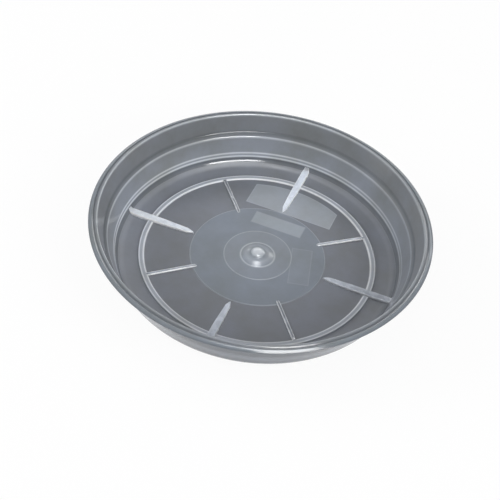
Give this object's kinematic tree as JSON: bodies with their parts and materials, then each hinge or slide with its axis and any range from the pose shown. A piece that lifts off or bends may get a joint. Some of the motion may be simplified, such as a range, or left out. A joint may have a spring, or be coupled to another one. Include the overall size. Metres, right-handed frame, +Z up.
{
  "type": "plant saucer",
  "caption": "Round shallow dish with a stepped flaring wall, a flanged rim and raised floor ribs, that stands under a flower pot and catches its water.",
  "frame": {"origin": "on the ground under the centre of the saucer, at the middle of the foot", "axes": "+Z up along the saucer's axis; the long ribs lie on X and Y; the name panel is on the +Y side"},
  "size_m": [0.16, 0.16, 0.0258],
  "materials": {
    "natural_polypropylene": "moulded translucent polypropylene, smoke grey, satin gloss",
    "natural_polypropylene_rib": "thicker moulded polypropylene, milky and paler",
    "natural_polypropylene_panel": "fine spark-eroded texture on translucent polypropylene"
  },
  "bodies": {
    "root": {"foot": "natural_polypropylene", "floor_field": "natural_polypropylene", "floor_centre": "natural_polypropylene", "gate_disc": "natural_polypropylene", "gate_dome": "natural_polypropylene", "gate_nipple": "natural_polypropylene", "stand_ring": "natural_polypropylene", "heel": "natural_polypropylene", "lower_wall": "natural_polypropylene", "wall_step": "natural_polypropylene", "upper_wall": "natural_polypropylene", "rim": "natural_polypropylene", "long_rib_1": "natural_polypropylene_rib", "long_rib_2": "natural_polypropylene_rib", "long_rib_3": "natural_polypropylene_rib", "long_rib_4": "natural_polypropylene_rib", "short_rib_1": "natural_polypropylene_rib", "short_rib_2": "natural_polypropylene_rib", "short_rib_3": "natural_polypropylene_rib", "short_rib_4": "natural_polypropylene_rib", "size_panel": "natural_polypropylene_panel", "mark_panel": "natural_polypropylene_panel", "name_panel": "natural_polypropylene_panel"}
  },
  "joints": []
}
